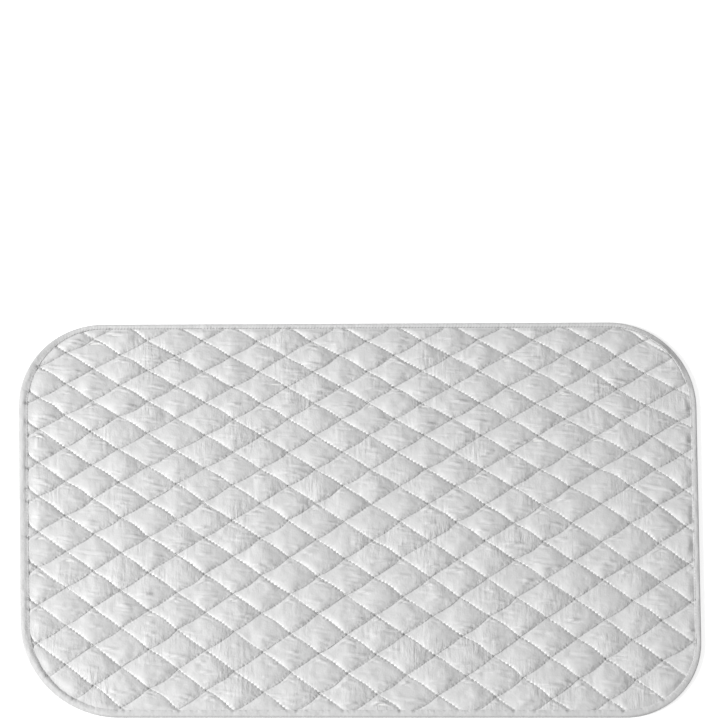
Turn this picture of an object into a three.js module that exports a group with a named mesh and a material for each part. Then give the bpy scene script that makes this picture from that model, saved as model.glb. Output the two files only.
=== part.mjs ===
import * as THREE from "three";

// Quilted ironing pad lying flat: silver face cover, wadding, backing cover, bound edge and all its thread.
// Millimetres, +Z up. The origin is the underside's middle. +X runs along the length, +Y to the far edge.

// Outline
const padLength = 840;
const padWidth = 496;
const nearLeftRadius = 121;
const nearRightRadius = 96;
const farRightRadius = 108;
const farLeftRadius = 105;
const edgeLean = 3.5; // the far edge sits this far left of the middle line, and the near edge as far right
const farFall = 4; // the far edge falls by this towards its left end
const layerCornerSteps = 4;
const bindingCornerSteps = 8;

// Layers, from the table up
const layerGap = 0.3;
const backingThickness = 0.5;
const pressedWadding = 0.6; // the wadding where the binding squeezes it
const faceThickness = 0.5;
const puffHeight = 3.7; // the crown of a diamond above its seams

// Binding: one folded strip round the whole edge, its end lapped over its start
const bindingWidth = 11;
const bindingWall = 0.8;
const bindingRoll = 1.4; // how thick the padded roll is on top
const bindingLip = 0.85; // how thick the strip is at its inner edge
const bindingTuck = 0.7; // how thick the strip is where the stitch pulls it down
const foldRadius = 1.6;
const lapPlace = -177; // along the far edge
const lapLength = 14;
const lapRise = 0.6;
const lapRamp = 0.8;
const stitchInset = 2; // from the binding's inner edge
const dropRun = 2.2; // over this run the layers drop from the binding to the table

// Quilting: crossings of two families of seams, counted in half diamonds from one crossing near the middle
const firstCrossingX = -18.7;
const firstCrossingY = -2;
const diamondWidth = 69.6;
const diamondHeight = 44.9;
const widthTaper = 1.4; // a diamond at the far edge is this much narrower than one in the middle row
const heightTaper = 0.66; // each half row is this much lower than the one in front of it
const columnLean = 7; // columns lean left by this at the far edge
const columnBow = 5.2; // columns sit this far right at both ends
const rowFall = 3.1; // rows fall by this from the middle to the right end
const rowBow = 2.1; // and sit this much higher at both ends
const rowCurl = 5.7; // and curl down at the right end and up at the left end
const rowSplay = 6; // rows spread by this towards the far right corner
const smallestPuffShare = 0.36; // a cut diamond smaller than this share of a whole one lies flat

// Where sewing pulled the pattern aside: the place as shares of half the pad's length and width, the reach
// in diamond widths, and the pull to the right and to the far edge in diamond widths and heights
const pullShares = [
  { across: -0.33, up: 0.5, reach: 1.1, right: 0.065, far: -0.02 },
  { across: 0.14, up: 0.58, reach: 0.7, right: -0.05, far: 0 },
  { across: 0.77, up: 0.18, reach: 0.9, right: 0.07, far: 0.09 },
  { across: 0.83, up: 0.67, reach: 0.65, right: -0.07, far: -0.045 },
  { across: -0.74, up: 0.44, reach: 0.9, right: -0.045, far: 0 },
  { across: 0.36, up: -0.83, reach: 1.15, right: 0.06, far: 0 },
  { across: 0.86, up: -0.69, reach: 0.7, right: -0.07, far: 0.02 },
  { across: 0.38, up: -0.38, reach: 0.9, right: -0.035, far: 0 },
];

// Thread
const threadWidth = 0.9;
const threadHeight = 0.4;
const threadGap = 0.1;
const shortestThread = 12;

const weldStep = 0.0005;
const halfLength = padLength / 2;
const halfWidth = padWidth / 2;

// Heights
const backingEdgeBase = bindingWall + layerGap;
const waddingEdgeBase = backingEdgeBase + backingThickness + layerGap;
const waddingBase = backingThickness + layerGap;
const waddingTop = waddingEdgeBase + pressedWadding;
const faceBase = waddingTop + layerGap;
const faceTop = faceBase + faceThickness;
const bindingUpperBase = faceTop + layerGap;
const fallingThreadBase = faceTop + threadGap;
const risingThreadBase = fallingThreadBase + threadHeight + threadGap;

// Insets from the outer edge
const rawEdgeInset = bindingWall + layerGap;
const dropInset = bindingWidth + layerGap;
const quiltInset = dropInset + dropRun;
const stitchLineInset = bindingWidth - stitchInset;

const silver = { color: 0xd4d4d4, roughness: 0.55, metalness: 0.15 };
const tape = { color: 0xcfcfcf, roughness: 0.6, metalness: 0.1 };
const felt = { color: 0xefefec, roughness: 0.95, metalness: 0 };
const lining = { color: 0xe2e2e0, roughness: 0.9, metalness: 0 };
const cotton = { color: 0xbcbcbc, roughness: 0.8, metalness: 0 };

// Skins: a closed surface gathered triangle by triangle, with shared points welded

function newSkin() {
  return { positions: [], indices: [], known: new Map() };
}

function pointIndex(skin, point) {
  const key = point.map((value) => Math.round(value / weldStep)).join(",");
  if (!skin.known.has(key)) {
    skin.known.set(key, skin.positions.length / 3);
    skin.positions.push(...point);
  }
  return skin.known.get(key);
}

function addTriangle(skin, a, b, c, facesUp = true) {
  const corners = [a, b, c].map((point) => pointIndex(skin, point));
  if (new Set(corners).size < 3) {
    return;
  }
  skin.indices.push(...(facesUp ? corners : corners.reverse()));
}

// Joins two loops of as many points. It faces out or up when the second lies above or inside the first.
function addStrip(skin, first, second) {
  first.forEach((point, i) => {
    const next = (i + 1) % first.length;
    addTriangle(skin, point, first[next], second[i]);
    addTriangle(skin, first[next], second[next], second[i]);
  });
}

// Fills a flat loop.
function addCap(skin, loop, facesUp) {
  const flat = loop.map(([x, y]) => new THREE.Vector2(x, y));
  for (const [a, b, c] of THREE.ShapeUtils.triangulateShape(flat, [])) {
    addTriangle(skin, loop[a], loop[b], loop[c], facesUp);
  }
}

function meshOf(name, skin, finish, base = 0) {
  const geometry = new THREE.BufferGeometry();
  geometry.setAttribute("position", new THREE.Float32BufferAttribute(skin.positions, 3));
  geometry.setIndex(skin.indices);
  geometry.computeVertexNormals();
  const mesh = new THREE.Mesh(geometry, new THREE.MeshStandardMaterial(finish));
  mesh.name = name;
  mesh.position.z = base;
  return mesh;
}

// Outline: a rounded rectangle with four radii of its own, anticlockwise from near right. It leans a little,
// and its far edge falls towards the left.

function leaning(x, y) {
  const leftShare = (1 - x / halfLength) / 2;
  const farShare = (1 + y / halfWidth) / 2;
  return [x - (edgeLean * y) / halfWidth, y - farFall * leftShare * farShare];
}

function cornerArc(sideX, sideY, radius, startTurn, inset, steps) {
  const points = [];
  for (let i = 0; i <= steps; i += 1) {
    const angle = (Math.PI / 2) * (startTurn + i / steps);
    const x = sideX * (halfLength - radius) + (radius - inset) * Math.cos(angle);
    const y = sideY * (halfWidth - radius) + (radius - inset) * Math.sin(angle);
    points.push(leaning(x, y));
  }
  return points;
}

function outline(inset, steps, farStations = []) {
  return [
    ...cornerArc(1, -1, nearRightRadius, -1, inset, steps),
    ...cornerArc(1, 1, farRightRadius, 0, inset, steps),
    ...farStations.map((x) => leaning(x, halfWidth - inset)),
    ...cornerArc(-1, 1, farLeftRadius, 1, inset, steps),
    ...cornerArc(-1, -1, nearLeftRadius, 2, inset, steps),
  ];
}

function layerLoop(inset, height) {
  return outline(inset, layerCornerSteps).map(([x, y]) => [x, y, height]);
}

// Quilting pattern

function seamCrossing(column, row) {
  const up = firstCrossingY + (diamondHeight * row) / 2 - (heightTaper * row * row) / 4;
  const upShare = up / halfWidth;
  const along = firstCrossingX + (column * (diamondWidth - widthTaper * upShare)) / 2;
  const alongShare = along / halfLength;
  const bend = rowBow * alongShare ** 2 - rowCurl * alongShare ** 3;
  const x = along - columnLean * upShare + columnBow * alongShare ** 2;
  const y = up - rowFall * alongShare + bend + rowSplay * alongShare * upShare;
  return pulled(x, y);
}

function pulled(x, y) {
  let [pulledX, pulledY] = [x, y];
  for (const { across, up, reach, right, far } of pullShares) {
    const off = Math.hypot(x - across * halfLength, y - up * halfWidth);
    const hold = Math.exp(-((off / (reach * diamondWidth)) ** 2));
    pulledX += right * diamondWidth * hold;
    pulledY += far * diamondHeight * hold;
  }
  return [pulledX, pulledY];
}

const columnReach = Math.ceil(padLength / diamondWidth) + 4;
const rowReach = Math.ceil(padWidth / diamondHeight) + 4;
const quiltOutline = outline(quiltInset, layerCornerSteps);

// How far a point lies inside one side of the quilting's outline.
function depthInside(point, side) {
  const from = quiltOutline[side];
  const to = quiltOutline[(side + 1) % quiltOutline.length];
  const run = [to[0] - from[0], to[1] - from[1]];
  const depth = (run[0] * (point[1] - from[1]) - run[1] * (point[0] - from[0])) / Math.hypot(...run);
  return Math.abs(depth) < weldStep ? 0 : depth;
}

function between(a, b, share) {
  return [a[0] + (b[0] - a[0]) * share, a[1] + (b[1] - a[1]) * share];
}

function meanPoint(points) {
  const mean = (axis) => points.reduce((sum, point) => sum + point[axis], 0) / points.length;
  return [mean(0), mean(1)];
}

function polygonArea(points) {
  return points.reduce((sum, [x, y], i) => {
    const [nextX, nextY] = points[(i + 1) % points.length];
    return sum + (x * nextY - y * nextX) / 2;
  }, 0);
}

// The part of a diamond that lies inside the quilting's outline.
function clippedCell(corners) {
  let kept = corners;
  quiltOutline.forEach((_, side) => {
    const next = [];
    kept.forEach((point, i) => {
      const following = kept[(i + 1) % kept.length];
      const depth = depthInside(point, side);
      const nextDepth = depthInside(following, side);
      if (depth >= 0) {
        next.push(point);
      }
      if (depth * nextDepth < 0) {
        next.push(between(point, following, depth / (depth - nextDepth)));
      }
    });
    kept = next;
  });
  return kept;
}

function makeCells() {
  const cells = [];
  for (let column = -columnReach; column <= columnReach; column += 1) {
    for (let row = -rowReach; row <= rowReach; row += 1) {
      if ((column + row) % 2 === 0) {
        continue;
      }
      const whole = [
        seamCrossing(column - 1, row),
        seamCrossing(column, row - 1),
        seamCrossing(column + 1, row),
        seamCrossing(column, row + 1),
      ];
      const corners = clippedCell(whole);
      if (corners.length < 3) {
        continue;
      }
      const share = polygonArea(corners) / polygonArea(whole);
      const rise = share < smallestPuffShare ? 0 : puffHeight * Math.sqrt(share);
      cells.push({ corners, middle: meanPoint(corners), rise });
    }
  }
  return cells;
}

// How far round the outline a point on it lies, counted in sides, or null for a point inside.
function placeRound(point) {
  for (let side = 0; side < quiltOutline.length; side += 1) {
    const from = quiltOutline[side];
    const to = quiltOutline[(side + 1) % quiltOutline.length];
    const run = [to[0] - from[0], to[1] - from[1]];
    const sideLength = Math.hypot(...run);
    const along = ((point[0] - from[0]) * run[0] + (point[1] - from[1]) * run[1]) / sideLength;
    if (depthInside(point, side) === 0 && along > -weldStep && along < sideLength - weldStep) {
      return side + Math.max(along, 0) / sideLength;
    }
  }
  return null;
}

// Every point of the cut diamonds that lies on the outline, in order round it.
function makeQuiltEdge(cells) {
  const found = new Map();
  for (const cell of cells) {
    for (const point of cell.corners) {
      const place = placeRound(point);
      if (place !== null) {
        found.set(point.map((value) => Math.round(value / weldStep)).join(","), { point, place });
      }
    }
  }
  return [...found.values()].sort((a, b) => a.place - b.place);
}

const quiltCells = makeCells();
const quiltEdge = makeQuiltEdge(quiltCells);

// The puffed diamonds, each a fan round its raised crown, or a flat fan where it is small.
function addDiamonds(skin, height, facesUp) {
  const raised = ([x, y], rise = 0) => [x, y, height + rise];
  for (const { corners, middle, rise } of quiltCells) {
    const [first, ...others] = corners;
    const hub = rise > 0 ? raised(middle, rise) : raised(first);
    const rim = rise > 0 ? [...corners, first] : others;
    for (let i = 0; i + 1 < rim.length; i += 1) {
      addTriangle(skin, hub, raised(rim[i]), raised(rim[i + 1]), facesUp);
    }
  }
}

// The flat border between the raw edge's few points and the quilting's many.
function addBorder(skin, outer, height, facesUp) {
  const inner = quiltEdge.map(({ point: [x, y], place }) => ({ point: [x, y, height], place }));
  let outerStep = 0;
  let innerStep = 0;
  while (outerStep < outer.length || innerStep < inner.length) {
    const outerPoint = outer[outerStep % outer.length];
    const innerPoint = inner[innerStep % inner.length].point;
    const nextOuter = outerStep + 1;
    const nextInner = innerStep + 1 < inner.length ? inner[innerStep + 1].place : outer.length;
    if (innerStep >= inner.length || (outerStep < outer.length && nextOuter <= nextInner)) {
      addTriangle(skin, outerPoint, outer[nextOuter % outer.length], innerPoint, facesUp);
      outerStep += 1;
    } else {
      addTriangle(skin, outerPoint, inner[(innerStep + 1) % inner.length].point, innerPoint, facesUp);
      innerStep += 1;
    }
  }
}

// The side of a layer that drops from its place inside the binding to its place on the table.
function addDropped(skin, loops, facesUp) {
  const [raw, dropped, flat] = loops;
  if (facesUp) {
    addStrip(skin, raw, dropped);
    addStrip(skin, dropped, flat);
  } else {
    addStrip(skin, flat, dropped);
    addStrip(skin, dropped, raw);
  }
  addCap(skin, flat, facesUp);
}

function droppedLoops(edgeHeight, flatHeight) {
  return [
    layerLoop(rawEdgeInset, edgeHeight),
    layerLoop(dropInset, edgeHeight),
    layerLoop(quiltInset, flatHeight),
  ];
}

// Pieces

function makeBackingCover() {
  const skin = newSkin();
  const under = droppedLoops(backingEdgeBase, 0);
  const over = droppedLoops(backingEdgeBase + backingThickness, backingThickness);
  addDropped(skin, under, false);
  addStrip(skin, under[0], over[0]);
  addDropped(skin, over, true);
  return meshOf("backing_cover", skin, lining);
}

function makeWadding() {
  const skin = newSkin();
  const under = droppedLoops(waddingEdgeBase - waddingBase, 0);
  const topHeight = waddingTop - waddingBase;
  const over = layerLoop(rawEdgeInset, topHeight);
  addDropped(skin, under, false);
  addStrip(skin, under[0], over);
  addBorder(skin, over, topHeight, true);
  addDiamonds(skin, topHeight, true);
  return meshOf("wadding", skin, felt, waddingBase);
}

function makeFaceCover() {
  const skin = newSkin();
  const under = layerLoop(rawEdgeInset, 0);
  const over = layerLoop(rawEdgeInset, faceThickness);
  addBorder(skin, under, 0, false);
  addDiamonds(skin, 0, false);
  addStrip(skin, under, over);
  addBorder(skin, over, faceThickness, true);
  addDiamonds(skin, faceThickness, true);
  return meshOf("face_cover", skin, silver, faceBase);
}

// A loop round the whole edge. Where the strip's end laps over its start, the loop rises by lapHeight.
function bindingLoop({ inset, height, lapHeight }) {
  const lapEnds = [lapPlace + lapLength / 2, lapPlace - lapLength / 2];
  const stations = [lapEnds[0] + lapRamp, lapEnds[0], lapEnds[1], lapEnds[1] - lapRamp];
  const firstStation = 2 * (bindingCornerSteps + 1);
  const raisedStations = [firstStation + 1, firstStation + 2];
  return outline(inset, bindingCornerSteps, stations).map(([x, y], i) => {
    return [x, y, height + (raisedStations.includes(i) ? lapHeight : 0)];
  });
}

function addLoops(skin, section) {
  const loops = section.map(bindingLoop);
  loops.forEach((loop, i) => addStrip(skin, loop, loops[(i + 1) % loops.length]));
}

// The folded strip's section, from its lower inner edge out under the layers, round the fold and back over.
function makeEdgeBinding() {
  const skin = newSkin();
  const rollTop = bindingUpperBase + bindingRoll;
  const foldMiddle = rollTop / 2;
  const shoulder = bindingUpperBase + bindingWall / 2;
  const rollWidth = stitchLineInset - foldRadius;
  addLoops(skin, [
    { inset: bindingWidth, height: 0, lapHeight: 0 },
    { inset: foldRadius, height: 0, lapHeight: 0 },
    { inset: foldRadius / 4, height: bindingWall / 2, lapHeight: 0 },
    { inset: 0, height: foldMiddle - bindingWall, lapHeight: 0 },
    { inset: 0, height: foldMiddle + bindingWall / 2, lapHeight: 0 },
    { inset: foldRadius / 3, height: shoulder, lapHeight: lapRise / 2 },
    { inset: foldRadius, height: rollTop - bindingWall / 4, lapHeight: lapRise },
    { inset: foldRadius + rollWidth / 3, height: rollTop, lapHeight: lapRise },
    { inset: foldRadius + (2 * rollWidth) / 3, height: rollTop - bindingWall / 4, lapHeight: lapRise },
    { inset: stitchLineInset, height: bindingUpperBase + bindingTuck, lapHeight: lapRise },
    { inset: bindingWidth - bindingWall, height: bindingUpperBase + bindingLip, lapHeight: lapRise },
    { inset: bindingWidth, height: bindingUpperBase + bindingWall / 2, lapHeight: lapRise },
    { inset: bindingWidth, height: bindingUpperBase, lapHeight: 0 },
    { inset: bindingWall, height: bindingUpperBase, lapHeight: 0 },
    { inset: bindingWall, height: bindingWall, lapHeight: 0 },
    { inset: bindingWidth, height: bindingWall, lapHeight: 0 },
  ]);
  return meshOf("edge_binding", skin, tape);
}

function makeBindingThread() {
  const skin = newSkin();
  const half = threadWidth / 2;
  addLoops(skin, [
    { inset: stitchLineInset, height: 0, lapHeight: lapRise },
    { inset: stitchLineInset - half, height: threadHeight / 2, lapHeight: lapRise },
    { inset: stitchLineInset, height: threadHeight, lapHeight: lapRise },
    { inset: stitchLineInset + half, height: threadHeight / 2, lapHeight: lapRise },
  ]);
  return meshOf("binding_thread", skin, cotton, bindingUpperBase + bindingTuck + threadLift());
}

// The thread is wider than the tuck it lies in, so it rides as high as the roll's flank beside it.
function threadLift() {
  const rollWidth = stitchLineInset - foldRadius;
  const flankRise = bindingRoll - bindingWall / 4 - bindingTuck;
  return threadGap + (flankRise * threadWidth) / 2 / (rollWidth / 3);
}

// A seam's crossings, cut off where they leave the quilting's outline.
function seamPath(crossings) {
  const path = [];
  for (let i = 0; i + 1 < crossings.length; i += 1) {
    let enter = 0;
    let leave = 1;
    for (let side = 0; side < quiltOutline.length; side += 1) {
      const depth = depthInside(crossings[i], side);
      const nextDepth = depthInside(crossings[i + 1], side);
      if (depth < 0 && nextDepth > 0) {
        enter = Math.max(enter, depth / (depth - nextDepth));
      } else if (depth > 0 && nextDepth < 0) {
        leave = Math.min(leave, depth / (depth - nextDepth));
      } else if (depth <= 0 && nextDepth <= 0) {
        leave = -1;
      }
    }
    if (leave > enter) {
      const [from, to] = [crossings[i], crossings[i + 1]];
      const piece = [between(from, to, enter), between(from, to, leave)];
      path.push(...(path.length === 0 ? piece : piece.slice(1)));
    }
  }
  return path;
}

function pathLength(path) {
  return path.slice(1).reduce((sum, [x, y], i) => sum + Math.hypot(x - path[i][0], y - path[i][1]), 0);
}

// Thread with a four-sided section, laid flat along a path.
function makeThread(name, path, base) {
  const skin = newSkin();
  const rings = path.map(([x, y], i) => {
    const before = path[Math.max(i - 1, 0)];
    const after = path[Math.min(i + 1, path.length - 1)];
    const run = Math.hypot(after[0] - before[0], after[1] - before[1]);
    const sideX = (-(after[1] - before[1]) / run) * (threadWidth / 2);
    const sideY = ((after[0] - before[0]) / run) * (threadWidth / 2);
    return [
      [x, y, 0],
      [x - sideX, y - sideY, threadHeight / 2],
      [x, y, threadHeight],
      [x + sideX, y + sideY, threadHeight / 2],
    ];
  });
  for (let i = 0; i + 1 < rings.length; i += 1) {
    addStrip(skin, rings[i + 1], rings[i]);
  }
  const [start, end] = [rings[0], rings[rings.length - 1]];
  addTriangle(skin, start[0], start[1], start[2]);
  addTriangle(skin, start[0], start[2], start[3]);
  addTriangle(skin, end[0], end[2], end[1]);
  addTriangle(skin, end[0], end[3], end[2]);
  return meshOf(name, skin, cotton, base);
}

// One family of seams: falling seams run down to the right, rising ones up to the right.
function makeThreads(family, slope, base) {
  const threads = [];
  const reach = 2 * Math.ceil((columnReach + rowReach) / 2);
  for (let line = -reach; line <= reach; line += 2) {
    const crossings = [];
    for (let column = -columnReach; column <= columnReach; column += 1) {
      const row = line + slope * column;
      if (Math.abs(row) <= rowReach) {
        crossings.push(seamCrossing(column, row));
      }
    }
    const path = seamPath(crossings);
    if (pathLength(path) > shortestThread) {
      const number = String(threads.length + 1).padStart(2, "0");
      threads.push(makeThread(`${family}_quilting_thread_${number}`, path, base));
    }
  }
  return threads;
}

const layers = new THREE.Group();
layers.add(makeBackingCover(), makeWadding(), makeFaceCover());

const boundEdge = new THREE.Group();
boundEdge.add(makeEdgeBinding(), makeBindingThread());

const quilting = new THREE.Group();
quilting.add(...makeThreads("falling", -1, fallingThreadBase));
quilting.add(...makeThreads("rising", 1, risingThreadBase));

const pad = new THREE.Group();
pad.add(layers, boundEdge, quilting);

export default pad;
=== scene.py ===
import math

import bpy
import numpy as np
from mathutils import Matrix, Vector


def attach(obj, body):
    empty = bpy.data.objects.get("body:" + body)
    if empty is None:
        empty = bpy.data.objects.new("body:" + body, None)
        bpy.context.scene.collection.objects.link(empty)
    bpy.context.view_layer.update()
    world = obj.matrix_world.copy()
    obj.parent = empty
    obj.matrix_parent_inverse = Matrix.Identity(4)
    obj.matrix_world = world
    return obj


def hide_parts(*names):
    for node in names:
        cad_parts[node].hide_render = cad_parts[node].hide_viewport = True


# Quilted ironing pad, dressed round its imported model. Metres, +Z up, in the model's own frame.

# Outline
PAD_LENGTH = 0.840
PAD_WIDTH = 0.496
NEAR_LEFT_RADIUS = 0.121
NEAR_RIGHT_RADIUS = 0.096
FAR_RIGHT_RADIUS = 0.108
FAR_LEFT_RADIUS = 0.105
EDGE_LEAN = 0.0035
FAR_FALL = 0.004
HALF_LENGTH = PAD_LENGTH / 2
HALF_WIDTH = PAD_WIDTH / 2
CORNER_STEPS = 45

# Quilting
FIRST_CROSSING_X = -0.0187
FIRST_CROSSING_Y = -0.002
DIAMOND_WIDTH = 0.0696
DIAMOND_HEIGHT = 0.0449
WIDTH_TAPER = 0.0014
HEIGHT_TAPER = 0.00066
COLUMN_LEAN = 0.007
COLUMN_BOW = 0.0052
ROW_FALL = 0.0031
ROW_BOW = 0.0021
ROW_CURL = 0.0057
ROW_SPLAY = 0.006
# Where sewing pulled the pattern: place, reach in diamonds, pull to the right and to the far edge
PULL_SHARES = (
    (-0.33, 0.50, 1.1, 0.065, -0.02),
    (0.14, 0.58, 0.7, -0.05, 0.0),
    (0.77, 0.18, 0.9, 0.07, 0.09),
    (0.83, 0.67, 0.65, -0.07, -0.045),
    (-0.74, 0.44, 0.9, -0.045, 0.0),
    (0.36, -0.83, 1.15, 0.06, 0.0),
    (0.86, -0.69, 0.7, -0.07, 0.02),
    (0.38, -0.38, 0.9, -0.035, 0.0),
)
SEAM_WANDER = 0.0009
SEAM_WANDER_LENGTH = 0.020
SEAM_SPACING = 0.0377
SEAM_LENGTH = 0.0414
LATTICE_REACH = 15
SEAM_SAMPLES = 60
SEAM_CROWDING_SHARE = 0.30
FALLING_BULGE_SHARE = -0.018
RISING_BULGE_SHARE = 0.036
BULGE_SPREAD_SHARE = 0.026
BULGE_REACH_SHARE = 0.16
TINY = 1e-9
AHEAD_SHARE = 0.125

# Heights above the table, and where the layers end
SEAM_HEIGHT = 0.0024
UNDER_EDGE_HEIGHT = 0.0034
EDGE_FACE_HEIGHTS = (0.0036, 0.0036, 0.0037, 0.0033, 0.0033, 0.0029, 0.0037, 0.0048)
BACKING_SEAM_HEIGHT = 0.0015
EDGE_BACKING_HEIGHT = 0.0011
BACKING_REST_HEIGHT = 0.00012
LAYER_INSET = 0.002
LAYER_RISE_LENGTH = 0.006
LIP_STEP = 0.0005
EDGE_BLEND = 0.002

# Stuffed shape of the face: each diamond swells over its near sides and falls away gently to its far ones
FACE_STEPS = 28
SWELL = 0.0027
SWELL_SHARES = (0.75, 1.15)
FALLING_CREST_SHARE = 0.50
FALLING_CREST_SPREAD_SHARES = (-0.08, 0.08)
RISING_CREST_SHARE = 0.62
RISING_CREST_SPREAD_SHARES = (-0.10, 0.06)
NEAR_LEFT_POWER = 2.9
NEAR_LEFT_SPREAD = 1.0
FAR_RIGHT_POWER = 2.0
FAR_LEFT_POWER = 1.1
NEAR_RIGHT_POWER = 2.7
NEAR_RIGHT_SPREAD = 0.7
GROOVE_DEPTH = 0.00050
NEAR_GROOVE_REACH = 0.0008
FAR_GROOVE_REACH = 0.0050
RIM_LIFT = 0.00025
RIM_REACH = 0.0008
SMOOTH_REACH = 0.0022
CROSSING_DENT = 0.0004
CROSSING_REACH = 0.0024
CROSSING_SHADE_REACH = 0.0016
PUCKER_LIFT = 0.0005
PUCKER_LENGTH = 0.0030
PUCKER_REACH = 0.0040
FALLING_PUCKER_SHARE = 0.35
FALLING_PUCKER_REACH = 0.0020
SMALL_LUMPS = 0.00025
SMALL_LUMP_LENGTH = 0.0048
LARGE_LUMPS = 0.0005
LARGE_LUMP_LENGTH = 0.012
RELIEF_REACH = 0.0025

# Creases in a diamond: how many, and limits of their place across and up it, their bow and half length
FOLD_GROUP_SHARES = (
    (3, (-0.15, 0.45), (-0.65, -0.1), (-0.2, 0.9), (0.12, 0.32)),
    (2, (-0.12, 0.12), (0.50, 0.80), (1.0, 3.0), (0.10, 0.22)),
    (2, (-0.5, 0.5), (-0.4, 0.4), (-0.5, 0.5), (0.10, 0.35)),
)
FOLD_LIFT = 0.0017
FOLD_STRENGTH_SHARES = (-0.5, 1.0)
FOLD_WIDTHS = (0.0009, 0.0016)
ROLL_PLACE_SHARE = 1.4
ROLL_WIDTH_SHARE = 1.2
CREASE_PLACE_SHARE = 0.3
CREASE_DEPTH_SHARE = 0.8

# Upright pleats of the face, with the least and greatest value of each
PLEAT_LIFT = 0.0004
PLEAT_STRENGTH_SHARES = (-1.0, 1.0)
PLEAT_ACROSS_SHARES = (-0.5, 0.6)
PLEAT_UP_SHARES = (-0.4, 0.4)
PLEAT_LENGTHS = (0.0045, 0.0075)
PLEAT_TURNS = (0, 6.0)
PLEAT_LEAN = 0.8
PLEAT_REACH_ACROSS_SHARES = (0.12, 0.3)
PLEAT_REACH_UP_SHARES = (0.25, 0.6)

# Backing and wadding
BACKING_STEPS = 9
BACKING_DROP = 0.00175
BACKING_REACH = 0.0045
BACKING_WRINKLE_SHARE = 0.3
WADDING_STEPS = 7
WADDING_GAP = 0.0005
SQUEEZED_WADDING = 0.0002
STUFFED_SHARE = 0.5

# Bound edge
# Four values are for the left, right, near and far side, four more for the corners from the far left on
BINDING_WIDTHS = (0.0118, 0.0074, 0.0108, 0.0060)
STRIP_WIDTH = 0.0206
STATION_PITCH = 0.0013
WALL_ROUND = 0.0015
WALL_MIDDLE = 0.0029
WALL_DEGREES = (-90, -60, -30, 0)
FOLD_HOLLOW = 0.0026
# The folded strip's top, from its outer edge in: how far in each point lies, then heights in millimetres
STRIP_TOP_SHARES = (0.0, 0.03, 0.08, 0.16, 0.28, 0.42, 0.56, 0.68, 0.78, 0.86, 0.93, 0.985, 1.0)
LEFT_TOPS = (3.8, 4.3, 4.4, 4.55, 4.65, 4.7, 4.55, 4.2, 3.85, 3.7, 3.6, 3.6, 3.55)
RIGHT_TOPS = (3.0, 3.5, 3.7, 3.9, 4.05, 4.15, 4.15, 4.05, 4.0, 3.9, 3.85, 3.75, 3.65)
NEAR_TOPS = (3.0, 3.7, 4.2, 4.7, 4.9, 4.9, 4.8, 4.6, 4.4, 4.2, 4.0, 3.9, 3.8)
FAR_TOPS = (3.8, 4.4, 4.7, 4.8, 4.9, 4.9, 4.8, 4.6, 4.3, 4.0, 3.6, 3.3, 3.2)
FAR_LEFT_TOPS = (3.9, 4.8, 5.1, 5.2, 5.1, 4.85, 4.5, 4.15, 3.85, 3.65, 3.5, 3.4, 3.35)
NEAR_LEFT_TOPS = (3.0, 3.7, 4.0, 4.2, 4.4, 4.6, 4.65, 4.45, 4.05, 3.6, 3.15, 2.9, 2.8)
NEAR_RIGHT_TOPS = (3.0, 3.2, 3.3, 3.4, 3.6, 3.85, 4.0, 4.1, 4.1, 4.1, 4.0, 3.9, 3.8)
FAR_RIGHT_TOPS = (3.0, 3.2, 3.3, 3.45, 3.7, 4.1, 4.6, 5.1, 5.35, 5.3, 5.1, 4.9, 4.7)
MILLIMETRE = 0.001
STITCH_LINE_SHARES = (0.93, 0.90, 0.88, 0.90)
STITCH_SHOW_SHARES = (0.6, 0.5, 0.15, 1.2)
GATHER_SHARES = (0.4, 0.5, 1.0, 0.7)
EDGE_SHADE_SHARES = (0.0, 0.1, 0.8, 0.3, 0.6, 0.4, 0.5, 0.4)
TUCK_LENGTHS = (0.0, 0.0, 0.0011, 0.0)
LAP_X = -0.177
LAP_LENGTH = 0.014
LAP_RISE = 0.0005
LAP_RAMP = 0.001
LAP_GATHER_SHARE = 1.6
GATHER_PITCH = 0.0034
GATHER_LIFT = 0.00035
GATHER_REACH = 0.007
GATHER_SLANT_SHARE = 0.35
GATHER_STRETCH_SHARE = 0.3
FACE_GATHER_STRETCH_SHARE = 0.25
EDGE_RISE_LENGTHS = (0.014, 0.006, 0.007, 0.006, 0.010, 0.010, 0.006, 0.012)
ROLL_LUMP_LENGTH = 0.011
ROLL_LUMPS = 0.0003
ROLL_LUMP_STRETCH = 2
LEAST_LUMP_SHARE = 0.3
PINCH_DEPTH = 0.0012
PINCH_REACH = 0.0020
PINCH_DRAW_SHARES = (-0.3, 1.2)
LEAST_PINCH_SHARE = 0.2
UNDER_LIP_HEIGHT = 0.0035
LIP_THICKNESS = 0.0002
LIP_GATHER_SHARE = 0.5
# How far in each point under the lip lies, and how much of the lip's pinch it has
UNDER_LIP_SHARES = ((0.98, 1), (0.80, 0.5))
INNER_FOLD_HEIGHTS = (0.0035, 0.0009)
UNDERSIDE_SHARES = (0.96, 1.0, 0.97, 0.85)
UNDERSIDE_HEIGHTS = (0.0008, 0.0005, 0.0001, 0.0)
UNDERSIDE_CLEARANCE = 0.0001
STITCH_TUCK_HEIGHT = 0.0006
STITCH_TUCK_REACH = 0.0016
# Where painted shade darkens the strip at the pinches and along its outer edge, as shares of the way in
PINCH_SHADE_SHARES = (0.5, 0.9)
EDGE_SHADE_REACH_SHARES = (0.08, 0.36)

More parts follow.
